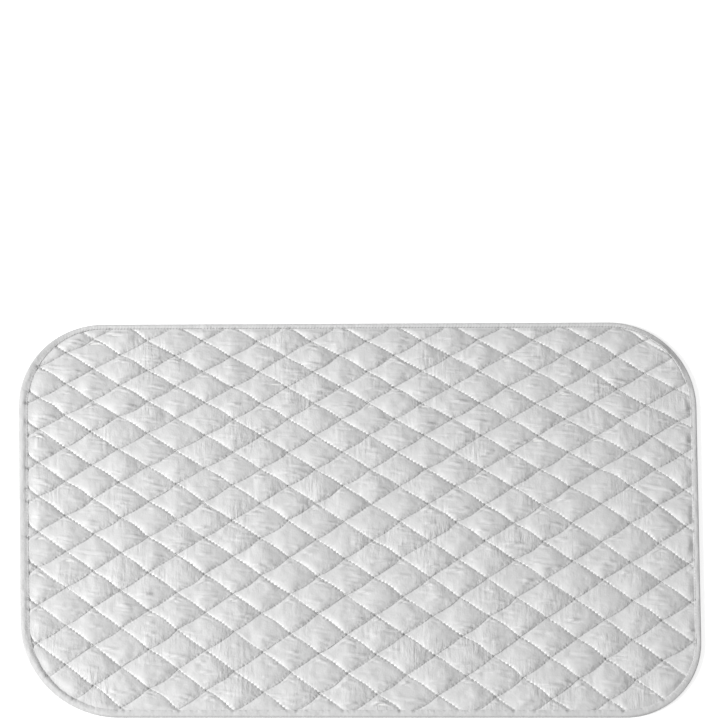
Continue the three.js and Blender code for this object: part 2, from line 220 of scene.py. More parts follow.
# Stitches
STITCHES_A_SIDE = 9
STITCH_LENGTH = 0.0038
BEAD_REACH = 0.0015
BEAD_LIFT = 0.00030
HOLE_REACH = 0.0006
HOLE_POWER = 4.0
STITCH_RADIUS = 0.00038
STITCH_LENGTH_SHARES = (0.93, 1.05)
STITCH_HUMP_SHARE = 0.6
STITCH_TIP_SHARE = 1.6
STITCH_FACETS = 6
BINDING_STITCH_PITCH = 0.0038
BINDING_STITCH_LENGTH = 0.0031
BENEATH_STITCH_HEIGHT = 0.0005
STITCH_SINK = 0.0009
THREAD_LIFTS = {"falling": 0.0, "rising": -0.0002}

# Materials
SILVER = (0.68, 0.68, 0.68)
SILVER_ROUGHNESS = 0.72
SILVER_IOR = 1.3
SMOOTH_ROUGHNESS = 0.52
SMOOTH_METALLIC = 0.34
COTTON = (0.74, 0.735, 0.72)
FELT = (0.86, 0.86, 0.84)
GREY_THREAD = (0.60, 0.60, 0.60)
SILVER_THREAD = (0.56, 0.56, 0.56)
SILVER_WEAVE_PITCH = 0.0006
COTTON_WEAVE_PITCH = 0.0007
WEAVE_UNEVENNESS = 0.4
SILVER_WEAVE_DEPTH = 0.00003
COTTON_WEAVE_DEPTH = 0.00008
CRINKLE_DEPTH = 0.0003
STREAK_DEPTH = 0.0010
PUCKER_DEPTH = 0.0010
STRIP_CREASE_DEPTH = 0.0005
COTTON_WRINKLE_DEPTH = 0.0002
FELT_DEPTH = 0.0004
TWIST_DEPTH = 0.0001
TWIST_SCALE = 900
RISING_HOLE_SHARE = 0.2
RISING_BEAD_SHARE = 0.6
WAVE_TEXTURE_TURN = 20
# Numbers of the mix node's colour sockets
FIRST_COLOUR, SECOND_COLOUR, MIXED_COLOUR = 6, 7, 2

# Camera
CAMERA_TILT = math.radians(80)
CAMERA_DISTANCE = 12.0
CAMERA_LENS = 484.0
SENSOR = 36.0
AIM_RIGHT = 0.0014
AIM_BEYOND = 0.201

# Floor and light
FLOOR_HALF = 6.0
FLOOR_COLOUR = (0.8, 0.8, 0.8, 1)
FLOOR_GLOW = 0.6
LAMP_SIZE = 2.0
LAMP_POWER = 487.0
LAMP_PLACE = (-5.4, -0.8, 2.76)
WORLD_LIGHT = 0.412
WORLD_SEEN = 1.0

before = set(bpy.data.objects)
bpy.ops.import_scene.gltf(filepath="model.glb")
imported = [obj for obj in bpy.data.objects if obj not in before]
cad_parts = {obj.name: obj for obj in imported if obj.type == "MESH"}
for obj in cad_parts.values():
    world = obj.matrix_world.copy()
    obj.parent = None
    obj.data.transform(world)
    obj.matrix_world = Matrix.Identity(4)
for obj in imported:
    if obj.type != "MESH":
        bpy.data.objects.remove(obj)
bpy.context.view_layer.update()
random = np.random.default_rng(11)


# Small shapes

def smooth_step(value, low, high):
    share = np.clip((value - low) / (high - low), 0, 1)
    return share * share * (3 - 2 * share)


def bell(value, width):
    return np.exp(-((value / width) ** 2))


def rise(distance, reach):
    """0 at a seam and 1 away from it, steepest at the seam."""
    return 1 - np.exp(-distance / reach)


def value_noise(x, y, cell, seed):
    """Smooth noise from -1 to 1 with one random value a cell."""
    cells = 64
    table = np.random.default_rng(seed).uniform(-1, 1, (cells, cells))
    shift = 100 * cells
    a, b = x / cell + shift, y / cell + shift
    i, j = np.floor(a).astype(int), np.floor(b).astype(int)
    s, t = smooth_step(a - i, 0, 1), smooth_step(b - j, 0, 1)
    near = table[i % cells, j % cells] * (1 - s) + table[(i + 1) % cells, j % cells] * s
    far = table[i % cells, (j + 1) % cells] * (1 - s) + table[(i + 1) % cells, (j + 1) % cells] * s
    return near * (1 - t) + far * t


# Outline

def corner_radius(x, y):
    near = np.where(x < 0, NEAR_LEFT_RADIUS, NEAR_RIGHT_RADIUS)
    far = np.where(x < 0, FAR_LEFT_RADIUS, FAR_RIGHT_RADIUS)
    return np.where(y < 0, near, far)


def leaning(x, y):
    """Leans the rounded rectangle, and lets its far edge fall towards the left."""
    left_share = (1 - x / HALF_LENGTH) / 2
    far_share = (1 + y / HALF_WIDTH) / 2
    return x - EDGE_LEAN * y / HALF_WIDTH, y - FAR_FALL * left_share * far_share


def straightened(x, y):
    """The place that leaning brings to x, y."""
    straight_x, straight_y = x, y
    for _ in range(3):
        leaned_x, leaned_y = leaning(straight_x, straight_y)
        straight_x, straight_y = straight_x + x - leaned_x, straight_y + y - leaned_y
    return straight_x, straight_y


def edge_place(x, y):
    """How far points lie inside the outer edge, and the outward direction there."""
    x, y = straightened(x, y)
    radius = corner_radius(x, y)
    past_x = np.abs(x) - (HALF_LENGTH - radius)
    past_y = np.abs(y) - (HALF_WIDTH - radius)
    in_corner = (past_x > 0) & (past_y > 0)
    reach = np.maximum(np.hypot(past_x, past_y), TINY)
    inset = np.where(in_corner, radius - reach, radius - np.maximum(past_x, past_y))
    sideways = past_x >= past_y
    out_x = np.where(in_corner, past_x / reach, sideways * 1.0) * np.sign(x)
    out_y = np.where(in_corner, past_y / reach, (~sideways) * 1.0) * np.sign(y)
    return inset, out_x, out_y


def edge_stations():
    """Evenly spaced places on the outer edge, anticlockwise from the lap, with outward directions."""
    corners = (
        (1, 1, FAR_RIGHT_RADIUS, 0),
        (-1, 1, FAR_LEFT_RADIUS, 1),
        (-1, -1, NEAR_LEFT_RADIUS, 2),
        (1, -1, NEAR_RIGHT_RADIUS, 3),
    )
    turns = np.linspace(0, np.pi / 2, CORNER_STEPS)
    arcs = []
    for side_x, side_y, radius, quarter in corners:
        angle = turns + quarter * np.pi / 2
        out = np.stack([np.cos(angle), np.sin(angle)], 1)
        middle = np.array([side_x * (HALF_LENGTH - radius), side_y * (HALF_WIDTH - radius)])
        arcs.append(np.concatenate([middle + radius * out, out], 1))
    lap = [[LAP_X, HALF_WIDTH, 0.0, 1.0]]
    path = np.concatenate([lap, arcs[1], arcs[2], arcs[3], arcs[0], lap])
    run = np.concatenate([[0], np.cumsum(np.hypot(*np.diff(path[:, :2], axis=0).T))])
    count = int(run[-1] / STATION_PITCH)
    at = run[-1] * np.arange(count) / count
    columns = [np.interp(at, run, path[:, k]) for k in range(4)]
    length = np.hypot(columns[2], columns[3])
    return at, columns[0], columns[1], columns[2] / length, columns[3] / length


def inset_place(x, y, out_x, out_y, inset):
    """The place that lies inset inside a place on the outer edge."""
    return leaning(x - out_x * inset, y - out_y * inset)


def by_side(values, out_x, out_y):
    """Blends values for the four sides, and for the corners if given, to where the edge faces that way."""
    left, right, near, far = values[:4]
    blend = np.where(out_x < 0, left, right) * out_x**2 + np.where(out_y < 0, near, far) * out_y**2
    if len(values) == 4:
        return blend
    far_left, near_left, near_right, far_right = values[4:]
    left_corner = np.where(out_y < 0, near_left, far_left)
    right_corner = np.where(out_y < 0, near_right, far_right)
    corner_share = (2 * out_x * out_y) ** 2
    return blend + corner_share * (np.where(out_x < 0, left_corner, right_corner) - blend)


def binding_width(out_x, out_y):
    """How wide the binding shows where the edge faces that way."""
    return by_side(BINDING_WIDTHS, out_x, out_y)


# Quilting pattern

def seam_place(column, row):
    """Where half diamond column, half row lies on the table."""
    up = FIRST_CROSSING_Y + DIAMOND_HEIGHT * row / 2 - HEIGHT_TAPER * row * row / 4
    up_share = up / HALF_WIDTH
    along = FIRST_CROSSING_X + column * (DIAMOND_WIDTH - WIDTH_TAPER * up_share) / 2
    along_share = along / HALF_LENGTH
    x = along - COLUMN_LEAN * up_share + COLUMN_BOW * along_share**2
    y = up - ROW_FALL * along_share + ROW_BOW * along_share**2 - ROW_CURL * along_share**3
    y = y + ROW_SPLAY * along_share * up_share
    even_x, even_y = x, y
    for place_x, place_y, reach, pull_x, pull_y in PULL_SHARES:
        off = np.hypot(even_x - place_x * HALF_LENGTH, even_y - place_y * HALF_WIDTH)
        hold = bell(off, reach * DIAMOND_WIDTH)
        x = x + pull_x * DIAMOND_WIDTH * hold
        y = y + pull_y * DIAMOND_HEIGHT * hold
    drift_x = SEAM_WANDER * value_noise(x, y, SEAM_WANDER_LENGTH, seed=7)
    drift_y = SEAM_WANDER * value_noise(x, y, SEAM_WANDER_LENGTH, seed=8)
    return x + drift_x, y + drift_y


def seam_line(family, number, along):
    """Places along one seam, counted in diamonds."""
    if family == "falling":
        return seam_place(number + along, number - along)
    return seam_place(along + number, along - number)


def free_seams(family, along):
    """Places, headings and distances from a crossing, along the seams that the binding leaves free."""
    seams = []
    for number in range(-LATTICE_REACH, LATTICE_REACH + 1):
        x, y = seam_line(family, number, along)
        inset, out_x, out_y = edge_place(x, y)
        free = inset > binding_width(out_x, out_y)
        if free.any():
            ahead_x, ahead_y = seam_line(family, number, along + AHEAD_SHARE / STITCHES_A_SIDE)
            off_crossing = np.abs(along - np.round(along)) * SEAM_LENGTH
            seams.append(np.stack([x, y, ahead_x - x, ahead_y - y, off_crossing], 1)[free])
    return seams


def grid_lines(steps):
    """Grid lines counted in diamonds, closer together beside the seams."""
    turn = np.arange(-LATTICE_REACH * steps, LATTICE_REACH * steps + 1) / steps
    return turn - SEAM_CROWDING_SHARE * np.sin(2 * np.pi * turn) / (2 * np.pi)


def bulged(p, q):
    """The swollen cloth hangs over its near seams, most half way between crossings."""
    draws = np.random.default_rng(31).uniform(-1, 1, (2, 4 * LATTICE_REACH, 4 * LATTICE_REACH))
    seam_p, seam_q = np.round(p).astype(int), np.round(q).astype(int)
    cell_p, cell_q = np.floor(p).astype(int), np.floor(q).astype(int)
    falling = FALLING_BULGE_SHARE + BULGE_SPREAD_SHARE * draws[0, seam_p, cell_q]
    rising = RISING_BULGE_SHARE + BULGE_SPREAD_SHARE * draws[1, seam_q, cell_p]
    falling = falling * np.sin(np.pi * q) ** 2 * bell(p - seam_p, BULGE_REACH_SHARE)
    rising = rising * np.abs(np.sin(np.pi * p)) * bell(q - seam_q, BULGE_REACH_SHARE)
    return p - falling, q + rising


def quilt_grid(steps, least_inset, bulging=True):
    """A grid that follows the seams, cut at least_inset from the outer edge."""
    line = grid_lines(steps)
    p, q = np.meshgrid(line, line, indexing="ij")
    over_p, over_q = bulged(p, q) if bulging else (p, q)
    x, y = seam_place(over_p + over_q, over_p - over_q)
    inset, out_x, out_y = edge_place(x, y)
    inside = inset > least_inset
    quads = inside[:-1, :-1] | inside[1:, :-1] | inside[:-1, 1:] | inside[1:, 1:]
    corners = ((0, 0), (0, 1), (1, 1), (1, 0))
    used = np.zeros(inside.shape, bool)
    for a, b in corners:
        used[a : used.shape[0] - 1 + a, b : used.shape[1] - 1 + b] |= quads
    number = np.cumsum(used.ravel()).reshape(used.shape) - 1
    at_i, at_j = np.nonzero(quads)
    faces = np.stack([number[at_i + a, at_j + b] for a, b in corners], axis=1)
    outside = np.maximum(least_inset - inset, 0)
    grid = {"x": (x - out_x * outside)[used], "y": (y - out_y * outside)[used]}
    grid["p"], grid["q"] = p[used], q[used]
    grid["inset"], grid["out_x"], grid["out_y"] = edge_place(grid["x"], grid["y"])
    grid["width"] = binding_width(grid["out_x"], grid["out_y"])
    place = np.stack([grid["x"], grid["y"]], 1)
    a, b, c = (place[faces[:, k]] for k in range(3))
    if np.median(np.cross(b - a, c - b)) < 0:
        faces = faces[:, ::-1]
    add_diamond_places(grid)
    return grid, faces


def add_diamond_places(grid):
    """Which diamond each point is in, and where: u from left to right corner, v from near to far corner."""
    diamond_p = np.floor(grid["p"] + TINY)
    diamond_q = np.floor(grid["q"] + TINY)
    share_p = grid["share_p"] = np.clip(grid["p"] - diamond_p, 0, 1)
    share_q = grid["share_q"] = np.clip(grid["q"] - diamond_q, 0, 1)
    grid["diamond"] = (diamond_p.astype(int) + LATTICE_REACH, diamond_q.astype(int) + LATTICE_REACH)
    grid["u"] = share_p + share_q - 1
    grid["v"] = share_p - share_q
    grid["off_falling"] = np.minimum(share_p, 1 - share_p) * SEAM_SPACING
    grid["off_rising"] = np.minimum(share_q, 1 - share_q) * SEAM_SPACING
    grid["off_crossing"] = np.hypot(grid["off_falling"], grid["off_rising"])
    grid["off_near_right"] = (np.ceil(grid["q"] - TINY) - grid["q"]) * SEAM_SPACING


def draw(grid, low, high):
    """One random value for each diamond, given to its points."""
    side = 2 * LATTICE_REACH + 1
    return random.uniform(low, high, (side, side))[grid["diamond"]]


# Meshes

def make_object(name, points, faces, material):
    mesh = bpy.data.meshes.new(name)
    mesh.from_pydata([tuple(p) for p in points], [], [tuple(f) for f in faces])
    mesh.update()
    mesh.shade_smooth()
    mesh.materials.append(material)
    obj = bpy.data.objects.new(name, mesh)
    bpy.context.scene.collection.objects.link(obj)
    return obj


def open_edges(faces):
    """The edges that only one face uses, in that face's own direction."""
    edges = np.concatenate([np.stack([faces[:, k], faces[:, (k + 1) % 4]], 1) for k in range(4)])
    key = np.sort(edges, axis=1)
    _, first, counts = np.unique(key, axis=0, return_index=True, return_counts=True)
    return edges[first[counts == 1]]


# Face cover

def hump(share, crest, start_power, end_power):
    """0 at both seams and 1 at the crest. A higher power makes that end steeper and the crest flatter."""
    before = np.clip(1 - share / crest, 0, 1)
    after = np.clip((share - crest) / (1 - crest), 0, 1)
    return 1 - before**start_power - after**end_power


def swelling(grid, falling_crest, rising_crest, near_left_power, near_right_power):
    """The stuffed shape between four seams, from 0 to 1."""
    across_falling = hump(grid["share_p"], falling_crest, near_left_power, FAR_RIGHT_POWER)
    across_rising = hump(grid["share_q"], rising_crest, FAR_LEFT_POWER, near_right_power)
    return across_falling * across_rising


def pillow(grid):
    """Each diamond's stuffed shape, with a groove along the falling seams and dents at the crossings."""
    falling_crest = FALLING_CREST_SHARE + draw(grid, *FALLING_CREST_SPREAD_SHARES)
    rising_crest = RISING_CREST_SHARE + draw(grid, *RISING_CREST_SPREAD_SHARES)
    near_left_power = NEAR_LEFT_POWER + draw(grid, -NEAR_LEFT_SPREAD, NEAR_LEFT_SPREAD)
    near_right_power = NEAR_RIGHT_POWER + draw(grid, -NEAR_RIGHT_SPREAD, NEAR_RIGHT_SPREAD)
    shape = swelling(grid, falling_crest, rising_crest, near_left_power, near_right_power)
    swell = SWELL * draw(grid, *SWELL_SHARES) * shape
    near_side = rise(grid["share_p"] * SEAM_SPACING, NEAR_GROOVE_REACH)
    far_side = rise((1 - grid["share_p"]) * SEAM_SPACING, FAR_GROOVE_REACH)
    dent = CROSSING_DENT * bell(grid["off_crossing"], CROSSING_REACH)
    return swell + GROOVE_DEPTH * near_side * far_side - dent


def arch_folds(grid, count, u_limits, v_limits, bow_limits, half_length_limits):
    """Creases that arch across a diamond, each with a soft roll of cloth over it on the far side."""
    lift = 0
    for _ in range(count):
        off_u = grid["u"] - draw(grid, *u_limits)
        off = grid["v"] - draw(grid, *v_limits) + draw(grid, *bow_limits) * off_u**2
        off = off * DIAMOND_HEIGHT / 2
        strength = np.clip(draw(grid, *FOLD_STRENGTH_SHARES), 0, 1)
        strength = strength * bell(off_u, draw(grid, *half_length_limits))
        width = draw(grid, *FOLD_WIDTHS)
        roll = bell(off - ROLL_PLACE_SHARE * width, ROLL_WIDTH_SHARE * width)
        crease = CREASE_DEPTH_SHARE * bell(off + CREASE_PLACE_SHARE * width, width)
        lift = lift + strength * (roll - crease)
    return lift * FOLD_LIFT


def pleats(grid):
    """Fine upright pleats in some of the diamonds."""
    off_u = grid["u"] - draw(grid, *PLEAT_ACROSS_SHARES)
    off_v = grid["v"] - draw(grid, *PLEAT_UP_SHARES)
    length = draw(grid, *PLEAT_LENGTHS)
    turn = 2 * np.pi * off_u * DIAMOND_WIDTH / 2 / length + draw(grid, *PLEAT_TURNS)
    wave = np.cos(turn + PLEAT_LEAN * off_v)
    strength = np.clip(draw(grid, *PLEAT_STRENGTH_SHARES), 0, 1)
    across = bell(off_u, draw(grid, *PLEAT_REACH_ACROSS_SHARES))
    up = bell(off_v, draw(grid, *PLEAT_REACH_UP_SHARES))
    return strength * wave * across * up * PLEAT_LIFT


def pucker_share(grid):
    """How puckered the cloth is: most beside rising seams, on their far left side."""
    beside_rising = np.exp(-grid["off_near_right"] / PUCKER_REACH)
    beside_falling = np.exp(-grid["off_falling"] / FALLING_PUCKER_REACH)
    return np.maximum(beside_rising, FALLING_PUCKER_SHARE * beside_falling)


def edge_gathers(grid):
    """Folds that run out of the binding, square to the edge."""
    x, y, stretch = grid["x"], grid["y"], FACE_GATHER_STRETCH_SHARE
    along_x = grid["out_y"] ** 2 * value_noise(x, stretch * y, GATHER_PITCH, seed=23)
    along_y = grid["out_x"] ** 2 * value_noise(stretch * x, y, GATHER_PITCH, seed=24)
    off_lap = np.hypot(x - LAP_X + LAP_LENGTH / 2, y - HALF_WIDTH + FAR_FALL)
    strength = by_side(GATHER_SHARES, grid["out_x"], grid["out_y"])
    strength = strength + LAP_GATHER_SHARE * bell(off_lap, LAP_LENGTH)
    beyond = np.maximum(grid["inset"] - grid["width"], 0)
    return GATHER_LIFT * strength * (along_x + along_y) * bell(beyond, GATHER_REACH)


def face_relief(grid):
    """Pleats, creases, lumps and puckers, added to the stuffed shape."""
    x, y = grid["x"], grid["y"]
    relief = pleats(grid)
    for count, *limits in FOLD_GROUP_SHARES:
        relief = relief + arch_folds(grid, count, *limits)
    relief = relief + SMALL_LUMPS * value_noise(x, y, SMALL_LUMP_LENGTH, seed=3)
    relief = relief + LARGE_LUMPS * value_noise(x, y, LARGE_LUMP_LENGTH, seed=4)
    relief = relief * rise(np.minimum(grid["off_falling"], grid["off_rising"]), RELIEF_REACH)
    puckers = PUCKER_LIFT * value_noise(x, y, PUCKER_LENGTH, seed=5)
    return relief + puckers * pucker_share(grid)


def bound_height(grid):
    """The face's height where the binding holds it, pinched down at the ends of the seams."""
    outer_height = by_side(EDGE_FACE_HEIGHTS, grid["out_x"], grid["out_y"])
    under_height = np.minimum(UNDER_EDGE_HEIGHT, outer_height)
    outside = smooth_step(grid["inset"] - grid["width"], -LIP_STEP, 0.0)
    height = under_height + (outer_height - under_height) * outside
    pinched = PINCH_DEPTH * bell(np.minimum(grid["off_falling"], grid["off_rising"]), PINCH_REACH)
    return np.maximum(height - pinched, SEAM_HEIGHT)


def face_height(grid):
    beyond = grid["inset"] - grid["width"]
    open_share = smooth_step(beyond, 0.0, by_side(EDGE_RISE_LENGTHS, grid["out_x"], grid["out_y"]))
    relief = face_relief(grid)
    base = SEAM_HEIGHT + (bound_height(grid) - SEAM_HEIGHT) * (1 - open_share)
    gathers = edge_gathers(grid) * smooth_step(beyond, 0.0, EDGE_BLEND)
    return base + open_share * (pillow(grid) + relief) + gathers


def add_attributes(obj, surface_values):
    """Values at each point that the materials read by name."""
    for name, values in surface_values.items():
        attribute = obj.data.attributes.new(name, "FLOAT", "POINT")
        attribute.data.foreach_set("value", values.ravel())


def make_face_cover(material):
    grid, faces = quilt_grid(FACE_STEPS, LAYER_INSET)
    points = np.stack([grid["x"], grid["y"], face_height(grid)], 1)
    cloth = make_object("face_cover_cloth", points, faces, material)
    open_share = smooth_step(grid["inset"] - grid["width"], 0.0, EDGE_BLEND)
    add_attributes(cloth, {
        "off_falling": grid["off_falling"],
        "off_rising": grid["off_rising"],
        "off_crossing": grid["off_crossing"],
        "stitch_falling": grid["q"] * STITCHES_A_SIDE,
        "stitch_rising": grid["p"] * STITCHES_A_SIDE,
        "open_share": open_share,
        "pucker_share": pucker_share(grid) * open_share,
    })
    return cloth


# Backing and wadding

def backing_height(grid):
    under_width = STRIP_WIDTH - grid["width"]
    open_share = smooth_step(grid["inset"] - under_width, 0.0, LAYER_RISE_LENGTH)
    belly = rise(grid["off_falling"], BACKING_REACH) * rise(grid["off_rising"], BACKING_REACH)
    relief = SMALL_LUMPS * value_noise(grid["x"], grid["y"], SMALL_LUMP_LENGTH, seed=13) * belly
    height = BACKING_SEAM_HEIGHT - BACKING_DROP * belly + relief
    height = np.maximum(height, BACKING_REST_HEIGHT + BACKING_WRINKLE_SHARE * np.abs(relief))
    return EDGE_BACKING_HEIGHT + (height - EDGE_BACKING_HEIGHT) * open_share


def make_backing(material):
    grid, faces = quilt_grid(BACKING_STEPS, LAYER_INSET, bulging=False)
    points = np.stack([grid["x"], grid["y"], backing_height(grid)], 1)
    return make_object("backing_cloth", points, faces[:, ::-1], material)


def make_wadding(material):
    """The stuffing between the two cloths, one closed body."""
    grid, faces = quilt_grid(WADDING_STEPS, 2 * LAYER_INSET)
    open_share = smooth_step(grid["inset"] - grid["width"], 0.0, LAYER_RISE_LENGTH)
    shape = swelling(grid, FALLING_CREST_SHARE, RISING_CREST_SHARE, NEAR_LEFT_POWER, NEAR_RIGHT_POWER)
    stuffed = STUFFED_SHARE * SWELL * shape
    dent = CROSSING_DENT * bell(grid["off_crossing"], CROSSING_REACH)
    top = SEAM_HEIGHT - WADDING_GAP / 2 + open_share * stuffed - dent
    bottom = np.minimum(backing_height(grid) + WADDING_GAP, top - SQUEEZED_WADDING)
    count = len(top)
    upper = np.stack([grid["x"], grid["y"], top], 1)
    lower = np.stack([grid["x"], grid["y"], bottom], 1)
    rim = open_edges(faces)
    walls = np.stack([rim[:, 1], rim[:, 0], rim[:, 0] + count, rim[:, 1] + count], 1)
    every_face = np.concatenate([faces, faces[:, ::-1] + count, walls])
    return make_object("wadding_felt", np.concatenate([upper, lower]), every_face, material)


# Stitches

def stitch_mesh(name, places, height, length, up, material):
    """One mesh of short threads, each humped at its middle and dipping into the cloth at its ends."""
    # Place along the thread, girth and hump of each ring of points
    ring_shares = ((-0.36, 0.75, 0.0), (0.0, 1.0, 1.0), (0.36, 0.75, 0.0))
    sides = STITCH_FACETS
    count = len(places)
    along = places[:, 2:4] * length * random.uniform(*STITCH_LENGTH_SHARES, (count, 1))
    across = np.stack([-places[:, 3], places[:, 2]], 1)
    level = np.zeros((count, 1)) + height
    rings = []
    for station, girth, hump in ring_shares:
        for k in range(sides):
            turn = 2 * math.pi * k / sides
            flat = places[:, :2] + along * station + across * (STITCH_RADIUS * girth * math.cos(turn))
            lift = up * STITCH_RADIUS * (girth * math.sin(turn) + STITCH_HUMP_SHARE * hump)
            rings.append(np.concatenate([flat, level + lift], 1))
    for end in (-0.5, 0.5):
        flat = places[:, :2] + along * end
        rings.append(np.concatenate([flat, level - up * STITCH_RADIUS * STITCH_TIP_SHARE], 1))
    size = len(rings)
    faces = []
    for ring in range(len(ring_shares) - 1):
        for k in range(sides):
            a, b = ring * sides + k, ring * sides + (k + 1) % sides
            faces += [(a, b, b + sides), (a, b + sides, a + sides)]
    last = (len(ring_shares) - 1) * sides
    for k in range(sides):
        faces.append(((k + 1) % sides, k, size - 2))
        faces.append((last + k, last + (k + 1) % sides, size - 1))
    faces = np.array(faces)[:, ::-1] if up > 0 else np.array(faces)
    every_face = (faces[None] + (np.arange(count) * size)[:, None, None]).reshape(-1, 3)
    return make_object(name, np.stack(rings, 1).reshape(-1, 3), every_face, material)


def quilting_stitches(family, material):
    """The stitches of one family of seams, on the face and beneath the backing."""
    reach = LATTICE_REACH * STITCHES_A_SIDE
    along = (np.arange(-reach, reach) + 0.5) / STITCHES_A_SIDE
    places = np.concatenate(free_seams(family, along))
    places[:, 2:4] /= np.linalg.norm(places[:, 2:4], axis=1, keepdims=True)
    dent = CROSSING_DENT * bell(places[:, 4:], CROSSING_REACH)
    name, height = family + "_stitches", SEAM_HEIGHT + THREAD_LIFTS[family] - dent
    upper = stitch_mesh(name, places, height, STITCH_LENGTH, 1, material)
    lower = stitch_mesh(name + "_beneath", places, BACKING_SEAM_HEIGHT, STITCH_LENGTH, -1, material)
    return [upper, lower]


# Bound edge

def seam_end_pinches(run, x, y):
    """How far each station of the binding is pinched by the quilting seams that end beneath it."""
    along = np.linspace(-LATTICE_REACH, LATTICE_REACH, 2 * SEAM_SAMPLES * LATTICE_REACH + 1)
    seams = free_seams("falling", along) + free_seams("rising", along)
    pinches = np.zeros_like(run)
    for seam in seams:
        for end_x, end_y in seam[[0, -1], :2]:
            station = np.hypot(x - end_x, y - end_y).argmin()
            strength = np.clip(random.uniform(*PINCH_DRAW_SHARES), LEAST_PINCH_SHARE, 1)
            pinches = np.maximum(pinches, strength * bell(run - run[station], PINCH_REACH))
    return pinches


def stitch_inset(out_x, out_y):
    """How far in the binding's stitches run where the edge faces that way."""
    return by_side(STITCH_LINE_SHARES, out_x, out_y) * binding_width(out_x, out_y)


def strip_tops(out_x, out_y):
    """Heights of the strip's top at each share of the way in, one column for each share."""
    corner_tops = (FAR_LEFT_TOPS, NEAR_LEFT_TOPS, NEAR_RIGHT_TOPS, FAR_RIGHT_TOPS)
    sides = zip(LEFT_TOPS, RIGHT_TOPS, NEAR_TOPS, FAR_TOPS, *corner_tops)
    return MILLIMETRE * np.stack([by_side(heights, out_x, out_y) for heights in sides], 1)


def binding_section(width, line, tops):
    """Points round the folded strip: inset, height, and how much gathers, lumps and pinches move each."""
    none = np.zeros_like(width)
    under_width = STRIP_WIDTH - width
    points = []
    for turn in np.radians(WALL_DEGREES):
        inset, height = WALL_ROUND * (1 - math.cos(turn)), WALL_MIDDLE * (1 + math.sin(turn))
        points.append((inset + none, height, 0, 0, 0))
    for share, height in zip(STRIP_TOP_SHARES, tops.T):
        lump = LEAST_LUMP_SHARE + (1 - LEAST_LUMP_SHARE) * math.sin(math.pi * share)
        points.append((share * width, height, share**2, lump, share**3))
    under_lip = np.minimum(UNDER_LIP_HEIGHT, tops[:, -1] - LIP_THICKNESS)
    for share, pinch in UNDER_LIP_SHARES:
        points.append((share * width, under_lip, LIP_GATHER_SHARE, 0, pinch))
    for height in INNER_FOLD_HEIGHTS:
        points.append((FOLD_HOLLOW + none, height, 0, 0, 0))
    for share, height in zip(UNDERSIDE_SHARES, UNDERSIDE_HEIGHTS):
        points.append((share * under_width, height, 0, 0, 0))
    for side in (1, 0, -1):
        height = UNDERSIDE_CLEARANCE if side else STITCH_TUCK_HEIGHT
        points.append((line + side * STITCH_TUCK_REACH, height, 0, 0, 0))
    return points


def make_binding(material):
    run, x, y, out_x, out_y = edge_stations()
    width = binding_width(out_x, out_y)
    line = stitch_inset(out_x, out_y)
    lip_x, lip_y = inset_place(x, y, out_x, out_y, width)
    pinches = seam_end_pinches(run, lip_x, lip_y)
    lap = smooth_step(run, -LAP_RAMP, LAP_RAMP) * (1 - smooth_step(run, LAP_LENGTH, LAP_LENGTH + LAP_RAMP))
    gather_share = by_side(GATHER_SHARES, out_x, out_y)
    gather_share = gather_share + LAP_GATHER_SHARE * bell(run - LAP_LENGTH / 2, LAP_LENGTH)
    rings = []
    insets = []
    for inset, height, gather, lump, pinch in binding_section(width, line, strip_tops(out_x, out_y)):
        slanted = run + GATHER_SLANT_SHARE * inset
        wave = value_noise(slanted, GATHER_STRETCH_SHARE * inset, GATHER_PITCH, seed=21)
        swell = value_noise(run, inset * ROLL_LUMP_STRETCH, ROLL_LUMP_LENGTH, seed=22)
        lift = gather * gather_share * GATHER_LIFT * wave + lump * ROLL_LUMPS * swell
        lift = lift - pinch * PINCH_DEPTH * pinches
        tuck = by_side(TUCK_LENGTHS, out_x, out_y) * (1 - np.clip(inset / width, 0, 1))
        ring_x, ring_y = inset_place(x, y, out_x, out_y, inset + tuck)
        rings.append(np.stack([ring_x, ring_y, height + lift + LAP_RISE * lap * (lump > 0)], 1))
        insets.append(inset)
    points = np.stack(rings, 1)
    stations, size = points.shape[:2]
    number = np.arange(stations * size).reshape(stations, size)
    after = np.roll(number, -1, axis=0)
    corners = [number, np.roll(number, -1, axis=1), np.roll(after, -1, axis=1), after]
    faces = np.stack(corners, 2).reshape(-1, 4)
    strip = make_object("binding_strip", points.reshape(-1, 3), faces, material)
    inset = np.stack(insets, 1)
    off_line = np.abs(inset - line[:, None])
    in_share = inset / width[:, None]
    # Painted shade along the outer fold where the strip meets the table, strongest on the near side and
    # fading inwards
    painted_edge_shade = 1 - smooth_step(in_share, *EDGE_SHADE_REACH_SHARES)
    # The pinch share carries painted shade where the seam ends pinch the strip down
    add_attributes(strip, {
        "off_stitches": off_line,
        "stitch_run": (run / stitch_pitch())[:, None] + 0 * off_line,
        "stitch_share": by_side(STITCH_SHOW_SHARES, out_x, out_y)[:, None] + 0 * off_line,
        "painted_pinch_shade": pinches[:, None] * smooth_step(in_share, *PINCH_SHADE_SHARES),
        "painted_edge_shade": by_side(EDGE_SHADE_SHARES, out_x, out_y)[:, None] * painted_edge_shade,
    })
    return strip


def stitch_pitch():
    """The binding's stitch pitch along the outer edge, so that whole stitches go round."""
    length = edge_stations()[0][-1] + STATION_PITCH
    return length / round(length / BINDING_STITCH_PITCH)


